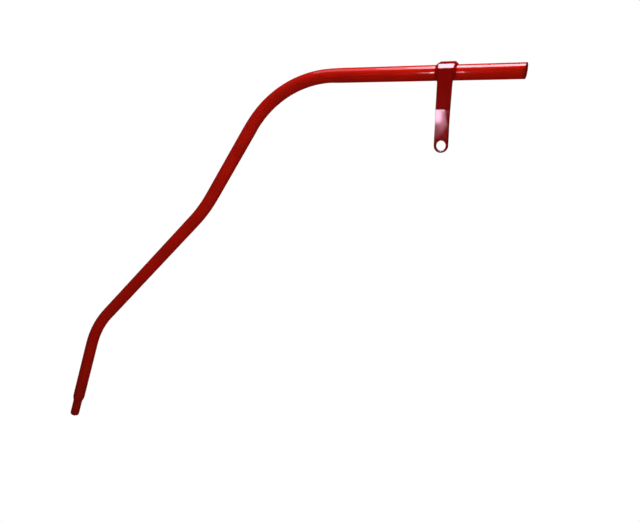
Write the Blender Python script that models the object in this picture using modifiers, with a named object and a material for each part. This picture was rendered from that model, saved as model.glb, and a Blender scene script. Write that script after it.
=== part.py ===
"""Bent steel tube with a push-in lower end and a welded strap bracket.

Units are metres and +Z is up. The tube's centreline lies in the XZ plane and its upper leg runs
level along +X. The origin is the centre of the lower end's cut face. The bracket's tab hangs on
the tube's front side, which faces -Y.
"""

import math

import bmesh
import bpy
from mathutils import Matrix, Vector

# Tube, from its lower end to its mouth
TUBE_RADIUS = 0.00635
TUBE_WALL = 0.00125
SPIGOT_RADIUS = 0.0049
SPIGOT_LENGTH = 0.0175
SWAGE_LENGTH = 0.0080
SWAGE_STEPS = 6
LEG_LENGTHS = (0.120, 0.206, 0.153, 0.219)  # between the centreline's corner points
BEND_ANGLES = (-27.5, 13.0, -56.5)  # degrees, positive turns steeper
BEND_RADII = (0.096, 0.150, 0.102)
BEND_STEP_ANGLE = 4.0  # degrees of bend between two rings of the mesh
TUBE_SIDE_RESOLUTION = 6
MOUTH_CUT_ANGLE = 6.0  # degrees off square; the upper leg is longest along its top
MOUTH_TRIM = 0.003  # extra tube that the mouth's cut takes away

# Strap bracket, wrapped over the tube and hanging down in front of it
FIT_GAP = 0.0003
STRAP_THICKNESS = 0.0023
STRAP_TO_MOUTH = 0.0625  # from the middle of the strap to the tube's mouth
STRAP_WIDTH = 0.0130
TAB_TOP_WIDTH = 0.0124
TAB_NECK_WIDTH = 0.0114
TAB_END_WIDTH = 0.0117
HOOK_END_ANGLE = 200.0  # degrees round the tube, from the front over the top
HOOK_STEP_ANGLE = 10.0
STRAP_SIDE_DEPTH = 0.0060  # depths are measured down from the upper leg's centreline
TAB_TOP_DEPTH = 0.0090
TAB_NECK_DEPTH = 0.0430
TAB_EYE_DEPTH = 0.0500
TAB_LEAN = 1.2  # degrees that the tab's upper part leans out to the front
TAB_SKEW = 0.0107  # sideways run of the tab, towards the bend, for each metre that it hangs down
KICK_DEPTH = 0.0295
KICK_ANGLE = 4.2  # degrees that the tab turns back at the kick
KICK_RADIUS = 0.004
KICK_STEPS = 4
BOLT_HOLE_DEPTH = 0.0588
BOLT_HOLE_RADIUS = 0.0041
ROUND_STEPS = 20  # steps along the tab's half-round end

# Fillet welds along the strap's two edges
WELD_HEIGHT = 0.0021
WELD_LEG_BEND_SIDE = 0.0030
WELD_LEG_MOUTH_SIDE = 0.0019
WELD_BULGE = 0.0003
WELD_START_ANGLE = -35.0
WELD_END_ANGLE = 195.0
WELD_STEPS = 36
WELD_FACE_STEPS = 4

CUTTER_MARGIN = 0.004
SHARP_ANGLE = math.radians(35.0)

RED_PAINT = (0.40, 0.010, 0.007)
BRACKET_PAINT = (0.38, 0.010, 0.009)
WELD_PAINT = (0.30, 0.008, 0.008)


def clear_scene():
    for scene_object in list(bpy.data.objects):
        bpy.data.objects.remove(scene_object, do_unlink=True)


def new_collection(name):
    collection = bpy.data.collections.new(name)
    bpy.context.scene.collection.children.link(collection)
    return collection


def paint_material(name, colour, roughness):
    material = bpy.data.materials.new(name)
    material.use_nodes = True
    shader = material.node_tree.nodes["Principled BSDF"]
    shader.inputs["Base Color"].default_value = (*colour, 1.0)
    shader.inputs["Roughness"].default_value = roughness
    shader.inputs["Metallic"].default_value = 0.0
    return material


def add_object(name, mesh, collection, material=None):
    created = bpy.data.objects.new(name, mesh)
    collection.objects.link(created)
    if material:
        mesh.materials.append(material)
        mesh.shade_smooth()
        mesh.set_sharp_from_angle(angle=SHARP_ANGLE)
    else:
        created.hide_render = True
        created.display_type = "WIRE"
    return created


def mesh_of_curve(curve_object):
    """A welded mesh of the curve, which is then removed."""
    evaluated = curve_object.evaluated_get(bpy.context.evaluated_depsgraph_get())
    mesh = bpy.data.meshes.new_from_object(evaluated)
    work = bmesh.new()
    work.from_mesh(mesh)
    bmesh.ops.remove_doubles(work, verts=work.verts, dist=0.00001)
    work.to_mesh(mesh)
    work.free()
    mesh.transform(curve_object.matrix_world)
    bpy.data.objects.remove(curve_object, do_unlink=True)
    return mesh


def cut(target, cutter, operation):
    modifier = target.modifiers.new(cutter.name, "BOOLEAN")
    modifier.operation = operation
    modifier.solver = "EXACT"
    modifier.object = cutter


def bend_tangent(index):
    """Length that a bend takes from the leg on each side of its corner."""
    return BEND_RADII[index] * math.tan(math.radians(abs(BEND_ANGLES[index])) / 2)


def tube_centreline():
    """Points from the lower end to the mouth, with the tube's radius at each."""
    slope = -math.radians(sum(BEND_ANGLES))
    direction = Vector((math.cos(slope), 0, math.sin(slope)))
    point = Vector((0, 0, 0))
    stations = [(point.copy(), SPIGOT_RADIUS)]
    for step in range(SWAGE_STEPS + 1):
        share = step / SWAGE_STEPS
        radius = SPIGOT_RADIUS + (TUBE_RADIUS - SPIGOT_RADIUS) * (3 - 2 * share) * share**2
        stations.append((point + direction * (SPIGOT_LENGTH + SWAGE_LENGTH * share), radius))
    for leg, length in enumerate(LEG_LENGTHS):
        straight = length
        if leg > 0:
            straight -= bend_tangent(leg - 1)
        if leg < len(BEND_ANGLES):
            straight -= bend_tangent(leg)
        point = point + direction * straight
        stations.append((point.copy(), TUBE_RADIUS))
        if leg == len(BEND_ANGLES):
            break
        turn = math.radians(BEND_ANGLES[leg])
        steps = math.ceil(abs(BEND_ANGLES[leg]) / BEND_STEP_ANGLE)
        chord = 2 * BEND_RADII[leg] * math.sin(abs(turn) / steps / 2)
        for _ in range(steps):
            middle = slope + turn / steps / 2
            point = point + Vector((math.cos(middle), 0, math.sin(middle))) * chord
            stations.append((point.copy(), TUBE_RADIUS))
            slope += turn / steps
        direction = Vector((math.cos(slope), 0, math.sin(slope)))
    return stations


def mouth_cutter(collection, mouth):
    """A block whose slanted face trims the mouth, passing through the top of the mouth's rim."""
    work = bmesh.new()
    size = 4 * TUBE_RADIUS
    bmesh.ops.create_cube(work, size=size)
    top = Vector((mouth.x, 0, mouth.z + TUBE_RADIUS))
    turn = Matrix.Rotation(math.radians(MOUTH_CUT_ANGLE), 4, "Y")
    centre = top + turn @ Vector((size / 2, 0, 0))
    bmesh.ops.transform(work, matrix=Matrix.Translation(centre) @ turn, verts=work.verts)
    mesh = bpy.data.meshes.new("mouth_cut")
    work.to_mesh(mesh)
    work.free()
    return add_object("mouth_cut", mesh, collection)


def build_tube(collection, cutters):
    stations = tube_centreline()
    mouth = stations[-1][0].copy()
    stations[-1][0].x += MOUTH_TRIM
    curve = bpy.data.curves.new("tube_path", "CURVE")
    curve.dimensions = "3D"
    curve.bevel_depth = TUBE_RADIUS
    curve.bevel_resolution = TUBE_SIDE_RESOLUTION
    curve.use_fill_caps = False
    spline = curve.splines.new("POLY")
    spline.points.add(len(stations) - 1)
    for spline_point, (place, radius) in zip(spline.points, stations):
        spline_point.co = (*place, 1.0)
        spline_point.radius = radius / TUBE_RADIUS
    path = bpy.data.objects.new("tube_path", curve)
    collection.objects.link(path)
    mesh = mesh_of_curve(path)
    tube = add_object("bent_tube", mesh, collection, paint_material("tube_red_paint", RED_PAINT, 0.25))
    wall = tube.modifiers.new("wall", "SOLIDIFY")
    wall.thickness = TUBE_WALL
    wall.offset = -1.0
    wall.use_even_offset = True
    cut(tube, mouth_cutter(cutters, mouth), "DIFFERENCE")
    return mouth


def strap_middle_line():
    """(y, z) points of the strap's mid-surface, from the hook's end behind the tube to the tab's end."""
    radius = TUBE_RADIUS + FIT_GAP + STRAP_THICKNESS / 2
    points = []
    for step in range(round(HOOK_END_ANGLE / HOOK_STEP_ANGLE) + 1):
        angle = math.radians(HOOK_END_ANGLE - step * HOOK_STEP_ANGLE)
        points.append((-radius * math.cos(angle), radius * math.sin(angle)))
    lean = math.radians(TAB_LEAN)
    after = lean - math.radians(KICK_ANGLE)
    y, z = -radius - KICK_DEPTH * math.tan(lean), -KICK_DEPTH
    points.append((y, z))
    chord = 2 * KICK_RADIUS * math.sin((lean - after) / KICK_STEPS / 2)
    for step in range(KICK_STEPS):
        middle = lean + (after - lean) * (step + 0.5) / KICK_STEPS
        y -= math.sin(middle) * chord
        z -= math.cos(middle) * chord
        points.append((y, z))
    end = -BOLT_HOLE_DEPTH - TAB_END_WIDTH / 2 - CUTTER_MARGIN
    points.append((y - (z - end) * math.tan(after), end))
    return points


def strap_outline(collection, middle):
    """A prism with the strap's front outline: parallel sides, a long taper to a neck, and a round eye."""
    end_radius = TAB_END_WIDTH / 2
    top = TUBE_RADIUS + STRAP_THICKNESS + CUTTER_MARGIN
    side = [
        (STRAP_WIDTH / 2, top),
        (STRAP_WIDTH / 2, -STRAP_SIDE_DEPTH),
        (TAB_TOP_WIDTH / 2, -TAB_TOP_DEPTH),
        (TAB_NECK_WIDTH / 2, -TAB_NECK_DEPTH),
        (end_radius, -TAB_EYE_DEPTH),
    ]
    outline = list(side)
    for step in range(ROUND_STEPS + 1):
        angle = -math.pi * step / ROUND_STEPS
        outline.append((end_radius * math.cos(angle), -BOLT_HOLE_DEPTH + end_radius * math.sin(angle)))
    outline += [(-x, z) for x, z in reversed(side)]
    outline = [(x + TAB_SKEW * min(z, 0.0), z) for x, z in outline]
    curve = bpy.data.curves.new("strap_outline", "CURVE")
    curve.dimensions = "2D"
    curve.fill_mode = "BOTH"
    curve.extrude = 2 * TUBE_RADIUS + CUTTER_MARGIN
    spline = curve.splines.new("POLY")
    spline.points.add(len(outline) - 1)
    for spline_point, (x, z) in zip(spline.points, outline):
        spline_point.co = (x, z, 0, 1)
    spline.use_cyclic_u = True
    flat = bpy.data.objects.new("strap_outline_curve", curve)
    flat.matrix_world = Matrix.Translation(middle) @ Matrix.Rotation(math.pi / 2, 4, "X")
    collection.objects.link(flat)
    bpy.context.view_layer.update()
    return add_object("strap_outline", mesh_of_curve(flat), collection)


def bolt_hole_cutter(collection, middle):
    work = bmesh.new()
    bmesh.ops.create_cone(
        work,
        cap_ends=True,
        segments=2 * ROUND_STEPS,
        radius1=BOLT_HOLE_RADIUS,
        radius2=BOLT_HOLE_RADIUS,
        depth=4 * TUBE_RADIUS,
    )
    place = Vector((middle.x - TAB_SKEW * BOLT_HOLE_DEPTH, -TUBE_RADIUS, middle.z - BOLT_HOLE_DEPTH))
    bmesh.ops.transform(
        work, matrix=Matrix.Translation(place) @ Matrix.Rotation(math.pi / 2, 4, "X"), verts=work.verts
    )
    mesh = bpy.data.meshes.new("bolt_hole")
    work.to_mesh(mesh)
    work.free()
    return add_object("bolt_hole", mesh, collection)


def build_strap(collection, cutters, middle):
    work = bmesh.new()
    reach = STRAP_WIDTH / 2 + CUTTER_MARGIN
    line = [work.verts.new((middle.x - reach, y, middle.z + z)) for y, z in strap_middle_line()]
    edges = [work.edges.new(pair) for pair in zip(line, line[1:])]
    strip = bmesh.ops.extrude_edge_only(work, edges=edges)
    moved = [item for item in strip["geom"] if isinstance(item, bmesh.types.BMVert)]
    bmesh.ops.translate(work, vec=(2 * reach, 0, 0), verts=moved)
    mesh = bpy.data.meshes.new("strap_bracket")
    work.to_mesh(mesh)
    work.free()
    strap = add_object(
        "strap_bracket", mesh, collection, paint_material("bracket_red_paint", BRACKET_PAINT, 0.3)
    )
    plate = strap.modifiers.new("plate", "SOLIDIFY")
    plate.thickness = STRAP_THICKNESS
    plate.offset = 0.0
    plate.use_even_offset = True
    cut(strap, strap_outline(cutters, middle), "INTERSECT")
    cut(strap, bolt_hole_cutter(cutters, middle), "DIFFERENCE")


def weld_section(leg):
    """(distance from the strap's edge, radius) points of a slightly crowned fillet weld."""
    root = TUBE_RADIUS + FIT_GAP
    points = [(0.0, root), (leg, root)]
    slant = Vector((-leg, WELD_HEIGHT))
    crown = Vector((WELD_HEIGHT, leg)).normalized() * WELD_BULGE
    for step in range(1, WELD_FACE_STEPS):
        share = step / WELD_FACE_STEPS
        rise = crown * math.sin(math.pi * share)
        points.append((leg + slant.x * share + rise.x, root + slant.y * share + rise.y))
    points.append((0.0, root + WELD_HEIGHT))
    return points


def build_weld(name, collection, material, middle, side, leg):
    """A fillet weld round the tube beside the strap; side is +1 towards the mouth, -1 towards the bend."""
    start = math.radians(WELD_START_ANGLE)
    edge = STRAP_WIDTH / 2 + FIT_GAP
    work = bmesh.new()
    ring = []
    for along, radius in weld_section(leg):
        x = middle.x + side * (edge + along)
        ring.append(work.verts.new((x, -radius * math.cos(start), middle.z + radius * math.sin(start))))
    first = work.faces.new(ring)
    bmesh.ops.spin(
        work,
        geom=[first, *first.edges, *first.verts],
        cent=(middle.x, 0, middle.z),
        axis=(-1, 0, 0),
        angle=math.radians(WELD_END_ANGLE - WELD_START_ANGLE),
        steps=WELD_STEPS,
        use_duplicate=False,
    )
    bmesh.ops.recalc_face_normals(work, faces=work.faces)
    mesh = bpy.data.meshes.new(name)
    work.to_mesh(mesh)
    work.free()
    add_object(name, mesh, collection, material)


def build():
    clear_scene()
    parts = new_collection("dipstick_tube")
    cutters = new_collection("cutters")
    mouth = build_tube(parts, cutters)
    strap_middle = Vector((mouth.x - STRAP_TO_MOUTH, 0, mouth.z))
    build_strap(parts, cutters, strap_middle)
    weld_paint = paint_material("weld_red_paint", WELD_PAINT, 0.35)
    build_weld("weld_bend_side", parts, weld_paint, strap_middle, -1, WELD_LEG_BEND_SIDE)
    build_weld("weld_mouth_side", parts, weld_paint, strap_middle, 1, WELD_LEG_MOUTH_SIDE)


build()
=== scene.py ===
"""Looks of the bent, red-painted steel tube with its push-in lower end and welded strap bracket.

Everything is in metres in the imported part's frame: the origin is the centre of the lower end's cut
face, the tube's centreline lies in the XZ plane, its upper leg runs level along +X, and the bracket's
tab hangs on the -Y side. The tube, the strap and the two welds are rebuilt here in finer detail round
the same centreline and outline, and stand for the CAD nodes.
"""

import math

import bmesh
import bpy
from mathutils import Matrix, Vector, noise


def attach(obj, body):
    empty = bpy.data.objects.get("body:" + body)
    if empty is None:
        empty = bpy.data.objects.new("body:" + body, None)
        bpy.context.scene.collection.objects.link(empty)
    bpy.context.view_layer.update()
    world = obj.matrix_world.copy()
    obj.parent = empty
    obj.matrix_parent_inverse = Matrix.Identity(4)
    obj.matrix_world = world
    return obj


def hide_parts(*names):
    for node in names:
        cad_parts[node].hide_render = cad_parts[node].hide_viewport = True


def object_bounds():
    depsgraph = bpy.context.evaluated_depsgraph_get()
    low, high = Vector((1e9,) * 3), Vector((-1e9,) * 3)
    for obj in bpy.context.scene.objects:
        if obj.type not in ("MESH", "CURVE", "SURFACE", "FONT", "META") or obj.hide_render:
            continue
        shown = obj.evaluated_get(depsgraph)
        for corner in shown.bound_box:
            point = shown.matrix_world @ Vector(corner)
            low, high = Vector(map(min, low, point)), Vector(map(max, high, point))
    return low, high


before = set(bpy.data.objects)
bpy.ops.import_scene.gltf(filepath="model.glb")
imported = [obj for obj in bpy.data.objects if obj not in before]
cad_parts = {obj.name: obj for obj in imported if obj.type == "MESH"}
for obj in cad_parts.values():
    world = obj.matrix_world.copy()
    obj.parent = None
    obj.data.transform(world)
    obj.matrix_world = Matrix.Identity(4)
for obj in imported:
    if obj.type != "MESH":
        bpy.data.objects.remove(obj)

CAD_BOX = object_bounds()

# Tube, from its lower end to its mouth
TUBE_RADIUS = 0.00635
TUBE_WALL = 0.00125
SPIGOT_RADIUS = 0.0049
SPIGOT_LENGTH = 0.0175
SWAGE_LENGTH = 0.0080
MOUTH_CUT_ANGLE = 6.0  # degrees off square; the upper leg is longest along its top
LEG_LENGTHS = (0.120, 0.206, 0.153, 0.219)  # between the centreline's corner points
BEND_ANGLES = (-27.5, 13.0, -56.5)  # degrees, positive turns steeper
BEND_RADII = (0.096, 0.150, 0.102)
BEND_FLATTENING = (0.022, 0.008, 0.040)  # share that each bend loses in height
BEND_WIDENING = 3  # a flattened bend gets wider by its lost height divided by this
FLATTENING_RUN = 0.012  # how far the flattening runs out into the legs
RING_SIDES = 96
LEG_STEP = 0.004
SWAGE_STEP = 0.0004
BEND_STEP = math.radians(1.0)
SWAGE_CLEARANCE = 0.001  # the legs' rings keep this far from the swage, which has its own
END_CLEARANCE = 0.002  # and this far from the tube's two ends, whose rims have their own
SPIGOT_TIP_LENGTH = 0.0018  # the lower tip is rounded over by this much along the tube
SPIGOT_TIP_DEPTH = 0.0009  # and by this much off its radius
SPIGOT_RIM_ROUND = 0.0002
MOUTH_OUTER_ROUND = 0.00035
MOUTH_INNER_ROUND = 0.00025
ROUND_STEPS = 6

# Strap bracket, wrapped over the tube and hanging down in front of it
STRAP_THICKNESS = 0.00255
STRAP_GAP = 0.00005
STRAP_TO_MOUTH = 0.0625
STRAP_WIDTH = 0.0130
TAB_TOP_WIDTH = 0.0124
TAB_NECK_WIDTH = 0.0114
TAB_END_WIDTH = 0.0117
HOOK_ANGLE = 200.0  # degrees round the tube, from the front over the top
STRAP_SIDE_DEPTH = 0.0060  # depths are measured down from the upper leg's centreline
TAB_TOP_DEPTH = 0.0090
TAB_NECK_DEPTH = 0.0430
TAB_EYE_DEPTH = 0.0500
TAB_LEAN = 1.15  # degrees that the tab's upper part leans out to the front
TAB_SKEW = 0.0107  # sideways run of the tab, towards the bend, for each metre that it hangs down
KICK_DEPTH = 0.0304
KICK_ANGLE = 4.2  # degrees that the tab turns back at the kick
KICK_RADIUS = 0.004
TAB_TWIST = 1.7  # degrees that the tab turns to the mouth's side on its way down to the kick
KICK_TILT = 0.075  # the kick's line falls by this much for each metre towards the mouth
BOLT_HOLE_DEPTH = 0.0588
BOLT_HOLE_RADIUS = 0.0041
STRAP_FOLD_ANGLE = 34.5  # degrees up from the front that the strap's lower facet faces
STRAP_FOLD_RADIUS = 0.00847  # from the tube's centreline to that facet
STRAP_CROWN_ANGLE = 60.0  # the same for the facet above it, next to the strap's round top
STRAP_CROWN_RADIUS = 0.00840
STRAP_FOLD_ROUND = 0.0009  # rounding of the fold between the lower facet and the flat front
STRAP_OUTER_RADIUS = TUBE_RADIUS + STRAP_GAP + STRAP_THICKNESS
STRAP_MIDDLE_RADIUS = TUBE_RADIUS + STRAP_GAP + STRAP_THICKNESS / 2
STRAP_EDGE_ROUND = 0.00042
STRAP_EDGE_STEPS = 3
HOOK_CORNER_ROUND = 0.0016
HOOK_CORNER_STEPS = 6
OUTLINE_STEPS = 40
DEPTH_HALVINGS = 40
STRAP_MAX_TURN = math.radians(3.0)  # bend between two lines across the strap
STRAP_MAX_STEP = 0.0015
STRAP_MERGE = 0.00001  # points of the blank closer than this are one
CUT_TOLERANCE = 0.000001
FACE_TOLERANCE = 0.00002  # points this close to the strap's two faces count as unworn
LARGE_FACE_WEIGHT = 100  # at 100 the larger faces decide the shading, so flat faces look flat

# Fillet welds along the strap's two edges
WELD_HEIGHT = 0.0021
WELD_LEG_BEND_SIDE = 0.0030
WELD_LEG_MOUTH_SIDE = 0.0019
WELD_BULGE = 0.0003
WELD_START_ANGLE = -35.0
WELD_END_ANGLE = 195.0
WELD_STEP_ANGLE = 0.8
WELD_FACE_STEPS = 12
WELD_RIPPLE_ANGLE = 9.0
WELD_RIPPLE_HEIGHT = 0.00007
WELD_SUNK = 0.0004  # how far the bead reaches into the strap and the tube
WELD_TAPER_ANGLE = 10.0
WELD_END_SIZE = 0.25  # share of the bead's section that is left at its two ends
WELD_WANDER = 0.05  # share by which the bead's size wanders along it
WELD_WANDER_ANGLE = 14.0
WELD_WANDER_OFFSET = 3.7  # keeps the two beads from wandering alike
WELD_RIPPLE_LEAD = 0.45  # share of a ripple by which the bead's middle runs ahead of its edges
WELD_RIPPLE_AT_EDGE = 0.3  # share of the ripples' height that is left at the bead's edges
WELD_BURIED_SHARE = 0.9  # the buried corners lie at this share of the bead's two legs
WELD_SHARP_ANGLE = 60.0

# Camera
CAMERA_PLACE = Vector((0.5728, -0.5400, 0.3189))
CAMERA_YAW = math.radians(25.22)  # turned left from +Y
CAMERA_PITCH = math.radians(9.79)  # looking down
CAMERA_ROLL = math.radians(1.51)
CAMERA_LENS = 36.5625
CAMERA_SENSOR = 36.0
CAMERA_CLIP_START = 0.01
CAMERA_CLIP_END = 50.0

# Paints: name, red, roughness, coat roughness, coat IOR, depth of the orange peel in metres
TUBE_PAINT = ("tube_gloss_red", (0.415, 0.0085, 0.0030), 0.38, 0.045, 1.5, 0.000002)
# painted shade: the bracket's red is a darker copy of the tube's, for the shade that the tube throws on
# the tab
BRACKET_SHADED_PAINT = ("bracket_gloss_red_shaded", (0.170, 0.0016, 0.0008), 0.38, 0.06, 1.6, 0.000003)
WELD_PAINT = ("weld_gloss_red", (0.24, 0.0030, 0.0015), 0.40, 0.10, 1.5, 0.000006)
PAINT_METALLIC = 0.22
MOTTLE_NOISE = (45.0, 3.0, 0.5)  # scale, detail and roughness of each noise
SPECK_NOISE = (420.0, 4.0, 0.6)
PEEL_NOISE = (1100.0, 2.0, 0.5)
DEEP_SHARE = 0.90  # the mottling runs from this share of the red
BRIGHT_SHARE = 1.08  # up to this one
WORN_AND_SHADED_SHARES = (0.42, 0.9, 0.9)  # of red, green and blue at the edges, for worn thin paint and painted shade, and at the low end, for painted shade
MOTTLE_RANGE = (0.35, 0.65)  # noise values between which the mottling changes
SPECK_RANGE = (0.68, 0.78)
SPECK_STRENGTH = 0.35
WEAR_AND_SHADE_RANGE = (0.30, 0.60)  # noise values between which the edge wear and its painted shade break up
WEAR_AND_SHADE_LEAST = 0.45
SHADED_LOW_END_HEIGHT = 0.12  # below this height the red is darkened more and more towards the lower tip: painted shade
LOW_END_PAINTED_SHADE = 0.72
ROUGHNESS_RANGE = (0.25, 0.75)
ROUGHNESS_BELOW = 0.06  # the roughness varies from this much under its value
ROUGHNESS_ABOVE = 0.08  # to this much over it
BUMP_STRENGTH = 0.6

# Studio lights: name, place, aimed at, width and height, power in watts, tint, seen in the gloss
WHITE = (1.0, 1.0, 1.0)
LILAC = (0.97, 0.86, 1.0)
PINK = (1.0, 0.57, 0.76)
STRAP_AIM = (0.4300, 0.0, 0.3500)
LIGHTS = (
    ("softbox_bright", (0.420, -0.065, 0.83), (0.420, -0.065, 0.0), 0.260, 0.287, 3.45, LILAC, True),
    ("softbox_middle", (0.270, -0.085, 0.83), (0.270, -0.085, 0.0), 0.040, 0.327, 0.38, LILAC, True),
    ("softbox_edge", (0.225, -0.085, 0.83), (0.225, -0.085, 0.0), 0.050, 0.327, 0.19, LILAC, True),
    ("softbox_spill", (0.100, -0.085, 0.83), (0.100, -0.085, 0.0), 0.200, 0.327, 0.26, LILAC, True),
    ("low_window", (0.2695, -0.62, 0.3270), STRAP_AIM, 0.047, 0.046, 0.160, PINK, True),
    ("low_window_right", (0.2990, -0.62, 0.3200), STRAP_AIM, 0.012, 0.060, 0.010, PINK, True),
    ("low_window_below", (0.2695, -0.62, 0.2920), STRAP_AIM, 0.047, 0.024, 0.006, PINK, True),
    ("lamp_left", (0.2460, -0.62, 0.3600), STRAP_AIM, 0.007, 0.014, 0.160, WHITE, True),
    ("lamp_right", (0.2950, -0.62, 0.3600), STRAP_AIM, 0.005, 0.014, 0.070, WHITE, True),
    ("lamp_glow", (0.2350, -0.62, 0.3600), STRAP_AIM, 0.015, 0.018, 0.070, WHITE, True),
    ("lamp_outer_glow", (0.2200, -0.62, 0.3600), STRAP_AIM, 0.015, 0.018, 0.018, WHITE, True),
    ("front_fill", (0.950, -0.85, 0.55), (0.350, 0.0, 0.28), 0.900, 0.900, 4.9, WHITE, False),
    ("side_fill", (-0.250, -0.50, 0.80), (0.200, 0.0, 0.25), 0.600, 0.600, 0.9, WHITE, False),
    ("back_fill", (0.250, 0.95, 0.60), (0.250, 0.0, 0.22), 0.900, 0.900, 5.0, WHITE, False),
    ("under_fill", (0.750, -0.38, -0.25), (0.420, -0.03, 0.38), 0.500, 0.500, 1.9, WHITE, False),
)
WORLD_COLOUR = (1.0, 0.10, 0.08)
WORLD_STRENGTH = 0.15

# Floor and backdrop, both turned round a vertical axis
STAGE_CENTRE = (0.25, 0, 0)
STAGE_SIDES = 64
STAGE_SEAM = 0.0001
FLOOR_GAP = 0.0004  # from the part's lowest point down to the floor
FLOOR_INNER_RADIUS = 1.0
FLOOR_RADIUS = 2.2
SWEEP_RADIUS = 0.8  # the curve from the floor up into the backdrop
SWEEP_STEPS = 8
BACKDROP_HEIGHT = 4.0

EDGE_WEAR_AND_SHADE = "edge_wear_and_shade"  # the attribute that carries how worn a point is and how much painted shade its edge gets


# ---------------------------------------------------------------- the tube's path


def bend_tangent(index):
    """Length that a bend takes from the leg on each side of its corner."""
    return BEND_RADII[index] * math.tan(math.radians(abs(BEND_ANGLES[index])) / 2)


def path_sections():
    """(length, turn, flattening) of each straight and bend, from the lower end to the mouth."""
    sections = []
    for leg, length in enumerate(LEG_LENGTHS):
        straight = length
        if leg > 0:
            straight -= bend_tangent(leg - 1)
        if leg < len(BEND_ANGLES):
            straight -= bend_tangent(leg)
        sections.append((straight, 0.0, 0.0))
        if leg < len(BEND_ANGLES):
            turn = math.radians(BEND_ANGLES[leg])
            sections.append((abs(turn) * BEND_RADII[leg], turn, BEND_FLATTENING[leg]))
    return sections


def smooth(share):
    """Eases from 0 to 1 as the share goes from 0 to 1."""
    share = min(1.0, max(0.0, share))
    return share * share * (3 - 2 * share)


class TubePath:
    """The centreline in the XZ plane, read by the length along it."""

    def __init__(self):
        self.sections = path_sections()
        self.starts = []
        place = Vector((0.0, 0.0, 0.0))
        slope = -math.radians(sum(BEND_ANGLES))
        travelled = 0.0
        for length, turn, _ in self.sections:
            self.starts.append((travelled, place.copy(), slope))
            place, slope = self.step(place, slope, length, turn, length)
            travelled += length
        self.length = travelled
        self.mouth = place

    @staticmethod
    def step(place, slope, length, turn, along):
        if turn == 0.0:
            return place + Vector((math.cos(slope), 0, math.sin(slope))) * along, slope
        radius = length / turn
        after = slope + turn * along / length
        moved = Vector((math.sin(after) - math.sin(slope), 0, math.cos(slope) - math.cos(after)))
        return place + moved * radius, after

    def at(self, along):
        """(place, slope) at that length; beyond the ends the line runs on straight."""
        stretches = zip(reversed(self.starts), reversed(self.sections))
        for (start, place, slope), (length, turn, _) in stretches:
            if along >= start or start == 0.0:
                return self.step(place, slope, length, turn, along - start)

    def flattening(self, along):
        """Share of its height that the tube loses there, easing in and out at each bend."""
        total = 0.0
        for (start, _, _), (length, _, share) in zip(self.starts, self.sections):
            if share:
                rise = smooth((along - start) / FLATTENING_RUN + 0.5)
                fall = smooth((start + length - along) / FLATTENING_RUN + 0.5)
                total += share * rise * fall
        return total

    def stations(self):
        """Lengths at which the tube gets a ring: close in bends and in the swage, wider on the legs."""
        marks = []
        for (start, _, _), (length, turn, _) in zip(self.starts, self.sections):
            count = math.ceil(abs(turn) / BEND_STEP) if turn else math.ceil(length / LEG_STEP)
            marks += [start + length * step / count for step in range(count)]
        swage_steps = math.ceil(SWAGE_LENGTH / SWAGE_STEP)
        before = SPIGOT_LENGTH - SWAGE_CLEARANCE
        beyond = SPIGOT_LENGTH + SWAGE_LENGTH + SWAGE_CLEARANCE
        marks = [m for m in marks if not before < m < beyond]
        marks += [SPIGOT_LENGTH + SWAGE_LENGTH * step / swage_steps for step in range(swage_steps + 1)]
        return sorted(m for m in marks if END_CLEARANCE < m < self.length - END_CLEARANCE)


def outer_radius(along):
    """The tube's outer radius, which grows through the swage from the spigot's to the tube's own."""
    share = smooth((along - SPIGOT_LENGTH) / SWAGE_LENGTH)
    return SPIGOT_RADIUS + (TUBE_RADIUS - SPIGOT_RADIUS) * share


def rounded_corner(wall_radius, outward, face, inward, length, depth):
    """(length, radius, edge wear and painted shade) points of a quarter round between a tube's wall and
    its end face.
    """
    points = []
    for step in range(ROUND_STEPS + 1):
        angle = math.pi / 2 * step / ROUND_STEPS
        along = face + inward * length * (1 - math.sin(angle))
        radius = wall_radius - outward * depth * (1 - math.cos(angle))
        points.append((along, radius, 1.0))
    return points


def tube_profile(path):
    """(length, radius, edge wear and painted shade) of the closed wall: up the outside, over the mouth and
    back down the bore.
    """
    inner_tip = SPIGOT_RADIUS - TUBE_WALL
    inner_mouth = TUBE_RADIUS - TUBE_WALL
    marks = path.stations()
    outside = rounded_corner(SPIGOT_RADIUS, 1, 0.0, 1, SPIGOT_TIP_LENGTH, SPIGOT_TIP_DEPTH)[::-1]
    outside += [(m, outer_radius(m), 0.0) for m in marks]
    outside += rounded_corner(TUBE_RADIUS, 1, path.length, -1, MOUTH_OUTER_ROUND, MOUTH_OUTER_ROUND)
    inside = rounded_corner(inner_mouth, -1, path.length, -1, MOUTH_INNER_ROUND, MOUTH_INNER_ROUND)[::-1]
    inside += [(m, outer_radius(m) - TUBE_WALL, 0.0) for m in reversed(marks)]
    inside += rounded_corner(inner_tip, -1, 0.0, 1, SPIGOT_RIM_ROUND, SPIGOT_RIM_ROUND)
    return outside + inside


# ---------------------------------------------------------------- mesh helpers


def finish_piece(name, mesh, wear_and_shade, material, node):
    """Makes the mesh a piece that stands for a CAD node, with its edge wear and painted edge shade as an
    attribute.
    """
    layer = mesh.attributes.new(EDGE_WEAR_AND_SHADE, "FLOAT", "POINT")
    layer.data.foreach_set("value", wear_and_shade)
    mesh.materials.append(material)
    mesh.shade_smooth()
    piece = bpy.data.objects.new(name, mesh)
    bpy.context.scene.collection.objects.link(piece)
    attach(piece, "root")
    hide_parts(node)
    return piece


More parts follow.
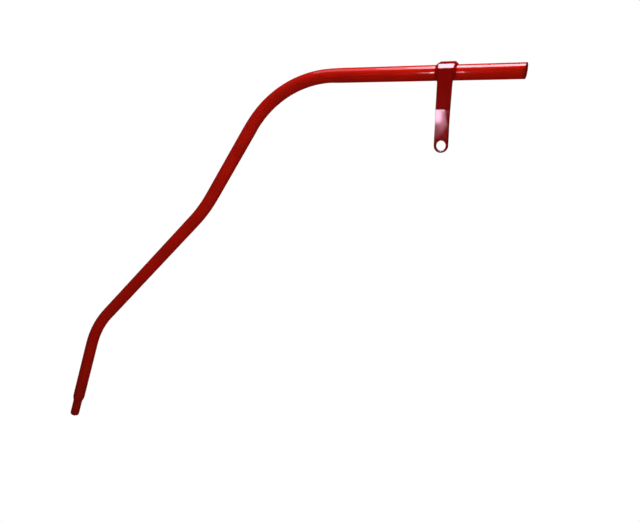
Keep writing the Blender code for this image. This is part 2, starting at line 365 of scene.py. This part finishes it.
def build_tube(path, material):
    """The tube as rings round its centreline; only the rim's rings lean with the mouth's cut."""
    work = bmesh.new()
    wear_and_shade_layer = work.verts.layers.float.new("wear_and_shade")
    mouth_lean = math.tan(math.radians(MOUTH_CUT_ANGLE))
    rings = []
    for along, radius, wear_and_shade in tube_profile(path):
        place, slope = path.at(along)
        up = Vector((-math.sin(slope), 0, math.cos(slope)))
        flat = path.flattening(along)
        ring = []
        for side in range(RING_SIDES):
            angle = 2 * math.pi * side / RING_SIDES
            offset = up * math.cos(angle) * (1 - flat)
            offset += Vector((0, 1, 0)) * math.sin(angle) * (1 + flat / BEND_WIDENING)
            corner = place + offset * radius
            if wear_and_shade and along > path.length / 2:
                corner.x -= mouth_lean * (path.mouth.z + TUBE_RADIUS - corner.z)
            vertex = work.verts.new(corner)
            vertex[wear_and_shade_layer] = wear_and_shade
            ring.append(vertex)
        rings.append(ring)
    for ring, after in zip(rings, rings[1:] + rings[:1]):
        for side in range(RING_SIDES):
            other = (side + 1) % RING_SIDES
            work.faces.new((ring[side], ring[other], after[other], after[side]))
    bmesh.ops.recalc_face_normals(work, faces=work.faces)
    wear_and_shade = [vertex[wear_and_shade_layer] for vertex in work.verts]
    work.verts.layers.float.remove(wear_and_shade_layer)
    mesh = bpy.data.meshes.new("tube")
    work.to_mesh(mesh)
    work.free()
    return finish_piece("tube", mesh, wear_and_shade, material, "bent_tube")


# ---------------------------------------------------------------- the strap


def strap_sections():
    """(length, turn) of the strap's middle line, from the hook's end behind the tube to the tab's end."""
    lean = math.radians(TAB_LEAN)
    kick = math.radians(KICK_ANGLE)
    wrap = math.radians(HOOK_ANGLE) - lean
    return [
        (STRAP_MIDDLE_RADIUS * wrap, wrap),
        (KICK_DEPTH / math.cos(lean), 0.0),
        (KICK_RADIUS * kick, kick),
        (BOLT_HOLE_DEPTH + TAB_END_WIDTH - KICK_DEPTH, 0.0),
    ]


class StrapLine:
    """The strap's middle line in the YZ plane, read by the length along it."""

    def __init__(self, axis):
        start = math.radians(HOOK_ANGLE)
        y = -STRAP_MIDDLE_RADIUS * math.cos(start)
        z = axis.z + STRAP_MIDDLE_RADIUS * math.sin(start)
        heading = start - math.pi / 2
        self.sections = []
        self.travelled = 0.0
        for length, turn in strap_sections():
            self.sections.append((self.travelled, y, z, heading, length, turn))
            y, z, heading = self.advance(y, z, heading, length, turn, length)
            self.travelled += length
        self.hook_end = self.sections[1][0]

    @staticmethod
    def advance(y, z, heading, length, turn, along):
        """Heading is measured from -Y towards +Z; a positive turn is over the tube and down."""
        if turn == 0.0:
            return y - math.cos(heading) * along, z + math.sin(heading) * along, heading
        radius = length / turn
        after = heading - turn * along / length
        y += radius * (math.sin(after) - math.sin(heading))
        z += radius * (math.cos(after) - math.cos(heading))
        return y, z, after

    def at(self, along):
        """(y, z, heading) at that length."""
        for start, y, z, heading, length, turn in reversed(self.sections):
            if along >= start or start == 0.0:
                return self.advance(y, z, heading, length, turn, along - start)

    def length_at_depth(self, depth, axis_z):
        """Length at which the tab is that far below the tube's centreline."""
        low, high = self.hook_end, self.travelled
        for _ in range(DEPTH_HALVINGS):
            middle = (low + high) / 2
            if axis_z - self.at(middle)[1] < depth:
                low = middle
            else:
                high = middle
        return low

    def stations(self):
        """Lengths at which the blank is cut across, so that it can bend there."""
        marks = []
        for start, _, _, _, length, turn in self.sections:
            count = math.ceil(max(abs(turn) / STRAP_MAX_TURN, length / STRAP_MAX_STEP))
            marks += [start + length * step / count for step in range(count)]
        return marks[1:]


def arc_points(x, y, radius, first, last, count):
    """Points of an arc round (x, y), from the first angle to the last."""
    angles = [first + (last - first) * k / count for k in range(count + 1)]
    return [(x + radius * math.cos(angle), y + radius * math.sin(angle)) for angle in angles]


def closed_spline(curve, points):
    """Adds a closed straight-sided outline to the curve."""
    spline = curve.splines.new("POLY")
    spline.points.add(len(points) - 1)
    for spline_point, (x, y) in zip(spline.points, points):
        spline_point.co = (x, y, 0, 1)
    spline.use_cyclic_u = True


def strap_blank(line, axis):
    """The flat blank before bending, as a mesh: x across, y along the strap, z through its thickness."""
    half = STRAP_WIDTH / 2
    end_radius = TAB_END_WIDTH / 2
    corner = HOOK_CORNER_ROUND
    hole_at = line.length_at_depth(BOLT_HOLE_DEPTH, axis.z)
    side = [
        (width / 2, line.length_at_depth(depth, axis.z))
        for width, depth in (
            (STRAP_WIDTH, STRAP_SIDE_DEPTH),
            (TAB_TOP_WIDTH, TAB_TOP_DEPTH),
            (TAB_NECK_WIDTH, TAB_NECK_DEPTH),
            (TAB_END_WIDTH, TAB_EYE_DEPTH),
        )
    ]
    outline = arc_points(half - corner, corner, corner, -math.pi / 2, 0, HOOK_CORNER_STEPS)
    outline += side
    outline += arc_points(0, hole_at, end_radius, 0, math.pi, OUTLINE_STEPS)
    outline += [(-across, along) for across, along in reversed(side)]
    outline += arc_points(-half + corner, corner, corner, math.pi, 1.5 * math.pi, HOOK_CORNER_STEPS)
    hole = arc_points(0, hole_at, BOLT_HOLE_RADIUS, 0, 2 * math.pi, 2 * OUTLINE_STEPS)[:-1]
    curve = bpy.data.curves.new("strap_blank", "CURVE")
    curve.dimensions = "2D"
    curve.fill_mode = "BOTH"
    curve.extrude = STRAP_THICKNESS / 2 - STRAP_EDGE_ROUND
    curve.bevel_depth = STRAP_EDGE_ROUND
    curve.bevel_resolution = STRAP_EDGE_STEPS
    curve.offset = -STRAP_EDGE_ROUND
    closed_spline(curve, outline)
    closed_spline(curve, hole)
    holder = bpy.data.objects.new("strap_blank", curve)
    bpy.context.scene.collection.objects.link(holder)
    evaluated = holder.evaluated_get(bpy.context.evaluated_depsgraph_get())
    mesh = bpy.data.meshes.new_from_object(evaluated)
    bpy.data.objects.remove(holder, do_unlink=True)
    return mesh


def folded_radius(angle):
    """Distance from the tube's centreline to the strap's outer face, at that angle up from the front."""
    facet = STRAP_FOLD_RADIUS / math.cos(angle - math.radians(STRAP_FOLD_ANGLE))
    crown = STRAP_CROWN_RADIUS / math.cos(angle - math.radians(STRAP_CROWN_ANGLE))
    if angle > math.radians(STRAP_FOLD_ANGLE):
        return min(STRAP_OUTER_RADIUS, facet, crown)
    front = STRAP_OUTER_RADIUS / math.cos(angle)
    blend = max(0.0, 1 - abs(front - facet) / STRAP_FOLD_ROUND)
    return min(front, facet) - STRAP_FOLD_ROUND * blend * blend / 4


def bent_place(line, axis, tab_start, across, along, through):
    """Where a point of the flat blank goes: hook, lean, kick, skew and twist."""
    y, z, heading = line.at(along)
    if along > tab_start:
        y, _, heading = line.at(along - KICK_TILT * across)
    outward = Vector((0, math.sin(heading), math.cos(heading)))
    angle = math.pi / 2 + heading
    if along < line.hook_end and 0 <= angle < math.pi / 2 and through > 0:
        thickness = STRAP_OUTER_RADIUS - STRAP_MIDDLE_RADIUS
        through *= (folded_radius(angle) - STRAP_MIDDLE_RADIUS) / thickness
    place = Vector((axis.x + across, y, z)) + outward * through
    if y < 0:
        depth = max(0.0, axis.z - place.z)
        place.x -= TAB_SKEW * depth
        turned = smooth((depth - TAB_TOP_DEPTH) / (KICK_DEPTH - TAB_TOP_DEPTH))
        place.y += (across + STRAP_WIDTH / 2) * math.tan(math.radians(TAB_TWIST)) * turned
    return place


def build_strap(axis, material):
    """The strap: its flat blank, cut across at every station and bent round the tube."""
    line = StrapLine(axis)
    blank = strap_blank(line, axis)
    work = bmesh.new()
    work.from_mesh(blank)
    bpy.data.meshes.remove(blank)
    bmesh.ops.remove_doubles(work, verts=work.verts, dist=STRAP_MERGE)
    tab_start = line.hook_end + STRAP_MAX_STEP
    for mark in line.stations():
        bmesh.ops.bisect_plane(
            work,
            geom=[*work.verts, *work.edges, *work.faces],
            plane_co=(0, mark, 0),
            plane_no=Vector((-KICK_TILT if mark > tab_start else 0.0, 1, 0)).normalized(),
            dist=CUT_TOLERANCE,
        )
    bmesh.ops.recalc_face_normals(work, faces=work.faces)
    wear_and_shade = []
    flat_face = STRAP_THICKNESS / 2 - FACE_TOLERANCE
    for vertex in work.verts:
        across, along, through = vertex.co
        # the rounded edges and the hole's bore get edge wear, which also paints shade on them
        wear_and_shade.append(0.0 if abs(through) > flat_face and not vertex.is_boundary else 1.0)
        vertex.co = bent_place(line, axis, tab_start, across, along, through)
    mesh = bpy.data.meshes.new("strap")
    work.to_mesh(mesh)
    work.free()
    piece = finish_piece("strap", mesh, wear_and_shade, material, "strap_bracket")
    shading = piece.modifiers.new("flat_faces_shade_flat", "WEIGHTED_NORMAL")
    shading.weight = LARGE_FACE_WEIGHT
    return piece


# ---------------------------------------------------------------- the welds


def weld_section(turned, span, side, leg):
    """(distance from the strap's edge, radius) points round the bead, so far along its span."""
    end_share = min(turned, span - turned) / WELD_TAPER_ANGLE
    rounded_end = math.sqrt(max(0.0, 1 - (1 - min(1.0, end_share)) ** 2))
    size = rounded_end * (1 - WELD_END_SIZE) + WELD_END_SIZE
    wander = noise.noise(Vector((turned / WELD_WANDER_ANGLE, side * WELD_WANDER_OFFSET, 0.0)))
    size *= 1 + WELD_WANDER * wander
    section = []
    for face_step in range(WELD_FACE_STEPS + 1):
        share = face_step / WELD_FACE_STEPS
        bow = math.sin(math.pi * share)
        ripple_phase = turned / WELD_RIPPLE_ANGLE + WELD_RIPPLE_LEAD * bow
        ripple = abs(math.sin(math.pi * ripple_phase)) - 0.5
        ripple_share = WELD_RIPPLE_AT_EDGE + (1 - WELD_RIPPLE_AT_EDGE) * bow
        swell = WELD_BULGE * bow + WELD_RIPPLE_HEIGHT * ripple * ripple_share
        away = Vector((WELD_HEIGHT, leg)).normalized() * swell
        along = (leg * (1 - share) + away.x) * size
        rise = (WELD_HEIGHT * share + away.y) * size
        section.append((along, TUBE_RADIUS + rise))
    section.append((-WELD_SUNK, TUBE_RADIUS + WELD_HEIGHT * size * WELD_BURIED_SHARE))
    section.append((-WELD_SUNK, TUBE_RADIUS - WELD_SUNK))
    section.append((leg * size * WELD_BURIED_SHARE, TUBE_RADIUS - WELD_SUNK))
    return section


def build_weld(name, axis, side, leg, material, node):
    """A rippled fillet bead beside the strap; side is +1 towards the mouth, -1 towards the bend."""
    edge = STRAP_WIDTH / 2
    span = WELD_END_ANGLE - WELD_START_ANGLE
    count = round(span / WELD_STEP_ANGLE)
    work = bmesh.new()
    rings = []
    for step in range(count + 1):
        turned = span * step / count
        angle = math.radians(WELD_START_ANGLE + turned)
        ring = []
        for along, radius in weld_section(turned, span, side, leg):
            y = -radius * math.cos(angle)
            z = axis.z + radius * math.sin(angle)
            ring.append(work.verts.new((axis.x + side * (edge + along), y, z)))
        rings.append(ring)
    for ring, after in zip(rings, rings[1:]):
        for k in range(len(ring)):
            other = (k + 1) % len(ring)
            work.faces.new((ring[k], ring[other], after[other], after[k]))
    work.faces.new(rings[0])
    work.faces.new(rings[-1])
    bmesh.ops.recalc_face_normals(work, faces=work.faces)
    wear_and_shade = [0.0] * len(work.verts)
    mesh = bpy.data.meshes.new(name)
    work.to_mesh(mesh)
    work.free()
    piece = finish_piece(name, mesh, wear_and_shade, material, node)
    mesh.set_sharp_from_angle(angle=math.radians(WELD_SHARP_ANGLE))
    return piece


# ---------------------------------------------------------------- materials


def paint(name, red, roughness, coat_roughness, coat_ior, orange_peel):
    """Gloss red paint: a mottled coat under a clear one, darker along the edges for worn paint and painted
    shade, and darker at the low end for painted shade.
    """
    material = bpy.data.materials.new(name)
    material.use_nodes = True
    nodes = material.node_tree.nodes
    links = material.node_tree.links
    shader = nodes["Principled BSDF"]
    place = nodes.new("ShaderNodeTexCoord")

    def noise_texture(scale, detail, roughness_share):
        texture = nodes.new("ShaderNodeTexNoise")
        texture.inputs["Scale"].default_value = scale
        texture.inputs["Detail"].default_value = detail
        texture.inputs["Roughness"].default_value = roughness_share
        links.new(place.outputs["Object"], texture.inputs["Vector"])
        return texture.outputs["Fac"]

    def ranged(value, low, high, out_low, out_high):
        node = nodes.new("ShaderNodeMapRange")
        node.inputs["From Min"].default_value = low
        node.inputs["From Max"].default_value = high
        node.inputs["To Min"].default_value = out_low
        node.inputs["To Max"].default_value = out_high
        links.new(value, node.inputs["Value"])
        return node.outputs["Result"]

    def mixed(factor, first, second):
        node = nodes.new("ShaderNodeMix")
        node.data_type = "RGBA"
        links.new(factor, node.inputs[0])
        for socket, colour in ((node.inputs[6], first), (node.inputs[7], second)):
            if isinstance(colour, tuple):
                socket.default_value = (*colour, 1.0)
            else:
                links.new(colour, socket)
        return node.outputs[2]

    broad = noise_texture(*MOTTLE_NOISE)
    fine = noise_texture(*SPECK_NOISE)
    peel = noise_texture(*PEEL_NOISE)
    deep = tuple(c * DEEP_SHARE for c in red)
    bright = tuple(c * BRIGHT_SHARE for c in red)
    worn_and_shaded = tuple(c * share for c, share in zip(red, WORN_AND_SHADED_SHARES))
    body = mixed(ranged(broad, *MOTTLE_RANGE, 0.0, 1.0), deep, bright)
    speckled = mixed(ranged(fine, *SPECK_RANGE, 0.0, SPECK_STRENGTH), body, deep)
    # edge wear that is partly painted shade: darker along rims, rounded edges and the hole's bore
    wear_and_shade = nodes.new("ShaderNodeAttribute")
    wear_and_shade.attribute_name = EDGE_WEAR_AND_SHADE
    broken = nodes.new("ShaderNodeMath")
    broken.operation = "MULTIPLY"
    links.new(wear_and_shade.outputs["Fac"], broken.inputs[0])
    links.new(ranged(fine, *WEAR_AND_SHADE_RANGE, WEAR_AND_SHADE_LEAST, 1.0), broken.inputs[1])
    # painted shade: the red darkens as the height falls towards the lower tip
    height = nodes.new("ShaderNodeSeparateXYZ")
    links.new(place.outputs["Object"], height.inputs["Vector"])
    low_end_shade = ranged(height.outputs["Z"], 0.0, SHADED_LOW_END_HEIGHT, LOW_END_PAINTED_SHADE, 0.0)
    shaded_low_end = mixed(low_end_shade, speckled, worn_and_shaded)
    smoothest, roughest = roughness - ROUGHNESS_BELOW, roughness + ROUGHNESS_ABOVE
    links.new(mixed(broken.outputs[0], shaded_low_end, worn_and_shaded), shader.inputs["Base Color"])
    links.new(ranged(fine, *ROUGHNESS_RANGE, smoothest, roughest), shader.inputs["Roughness"])
    shader.inputs["Metallic"].default_value = PAINT_METALLIC
    shader.inputs["Coat Weight"].default_value = 1.0
    shader.inputs["Coat Roughness"].default_value = coat_roughness
    shader.inputs["Coat IOR"].default_value = coat_ior
    shader.inputs["Specular IOR Level"].default_value = 0.0
    bump = nodes.new("ShaderNodeBump")
    bump.inputs["Strength"].default_value = BUMP_STRENGTH
    bump.inputs["Distance"].default_value = orange_peel
    links.new(peel, bump.inputs["Height"])
    links.new(bump.outputs["Normal"], shader.inputs["Normal"])
    links.new(bump.outputs["Normal"], shader.inputs["Coat Normal"])
    return material


# ---------------------------------------------------------------- camera, floor and light


def make_camera():
    """The camera at its place, turned by yaw, then pitch, then roll."""
    yaw, pitch, roll = CAMERA_YAW, CAMERA_PITCH, CAMERA_ROLL
    level = math.cos(pitch)
    forward = Vector((-math.sin(yaw) * level, math.cos(yaw) * level, -math.sin(pitch)))
    right = Vector((math.cos(yaw), math.sin(yaw), 0))
    up = right.cross(forward)
    tilted_right = right * math.cos(roll) + up * math.sin(roll)
    tilted_up = up * math.cos(roll) - right * math.sin(roll)
    data = bpy.data.cameras.new("camera")
    data.lens = CAMERA_LENS
    data.sensor_width = CAMERA_SENSOR
    data.clip_start = CAMERA_CLIP_START
    data.clip_end = CAMERA_CLIP_END
    camera = bpy.data.objects.new("camera", data)
    bpy.context.scene.collection.objects.link(camera)
    turned = Matrix((tilted_right, tilted_up, -forward)).transposed().to_4x4()
    camera.matrix_world = Matrix.Translation(CAMERA_PLACE) @ turned
    bpy.context.scene.camera = camera


def soft_light(name, place, aim, width, height, power, tint, seen_in_gloss):
    """A rectangular light, hidden from the camera, and from the gloss where it only fills."""
    data = bpy.data.lights.new(name, "AREA")
    data.shape = "RECTANGLE"
    data.size = width
    data.size_y = height
    data.energy = power
    data.color = tint
    light = bpy.data.objects.new(name, data)
    bpy.context.scene.collection.objects.link(light)
    light.location = place
    light.rotation_euler = (Vector(aim) - Vector(place)).to_track_quat("-Z", "Y").to_euler()
    light.visible_camera = False
    light.visible_glossy = seen_in_gloss


def white_material():
    """An evenly glowing white, so that nothing throws a shadow on it."""
    material = bpy.data.materials.new("studio_white")
    material.use_nodes = True
    shader = material.node_tree.nodes["Principled BSDF"]
    shader.inputs["Base Color"].default_value = (0, 0, 0, 1)
    shader.inputs["Roughness"].default_value = 1.0
    shader.inputs["Specular IOR Level"].default_value = 0.0
    shader.inputs["Emission Color"].default_value = (1, 1, 1, 1)
    shader.inputs["Emission Strength"].default_value = 1.0
    return material


def turned_stage(name, profile, material):
    """A stage surface turned round a vertical axis; only the camera sees it."""
    work = bmesh.new()
    line = [work.verts.new((radius, 0, z)) for radius, z in profile]
    edges = [work.edges.new(pair) for pair in zip(line, line[1:])]
    bmesh.ops.spin(
        work,
        geom=[*line, *edges],
        cent=(0, 0, 0),
        axis=(0, 0, 1),
        angle=2 * math.pi,
        steps=STAGE_SIDES,
    )
    bmesh.ops.remove_doubles(work, verts=work.verts, dist=STAGE_SEAM)
    mesh = bpy.data.meshes.new(name)
    work.to_mesh(mesh)
    work.free()
    mesh.shade_smooth()
    mesh.materials.append(material)
    stage = bpy.data.objects.new(name, mesh)
    bpy.context.scene.collection.objects.link(stage)
    stage.location = STAGE_CENTRE
    stage.visible_glossy = False
    stage.visible_diffuse = False
    stage.visible_shadow = False


def make_stage(level):
    """A white floor that curves up into a white backdrop all round."""
    white = white_material()
    floor = [(0.0, level), (FLOOR_INNER_RADIUS, level), (FLOOR_RADIUS, level)]
    angles = [step * math.pi / (2 * SWEEP_STEPS) for step in range(SWEEP_STEPS + 1)]
    sweep = [
        (FLOOR_RADIUS + SWEEP_RADIUS * math.sin(a), level + SWEEP_RADIUS * (1 - math.cos(a)))
        for a in angles
    ]
    turned_stage("studio_floor", floor, white)
    top = (FLOOR_RADIUS + SWEEP_RADIUS, level + BACKDROP_HEIGHT)
    turned_stage("studio_backdrop", sweep + [top], white)


def make_world():
    """A dim red surrounding, which keeps the tube's edges from turning black."""
    world = bpy.data.worlds.new("studio")
    world.use_nodes = True
    background = world.node_tree.nodes["Background"]
    background.inputs["Color"].default_value = (*WORLD_COLOUR, 1)
    background.inputs["Strength"].default_value = WORLD_STRENGTH
    bpy.context.scene.world = world


# ---------------------------------------------------------------- build

tube_path = TubePath()
strap_axis = Vector((tube_path.mouth.x - STRAP_TO_MOUTH, 0, tube_path.mouth.z))
tube_red = paint(*TUBE_PAINT)
shaded_bracket_red = paint(*BRACKET_SHADED_PAINT)
weld_red = paint(*WELD_PAINT)
build_tube(tube_path, tube_red)
build_strap(strap_axis, shaded_bracket_red)
build_weld("weld_bend_side_bead", strap_axis, -1, WELD_LEG_BEND_SIDE, weld_red, "weld_bend_side")
build_weld("weld_mouth_side_bead", strap_axis, 1, WELD_LEG_MOUTH_SIDE, weld_red, "weld_mouth_side")

make_camera()
make_stage(CAD_BOX[0].z - FLOOR_GAP)
make_world()
for spot in LIGHTS:
    soft_light(*spot)

bpy.context.scene.view_settings.view_transform = "Standard"
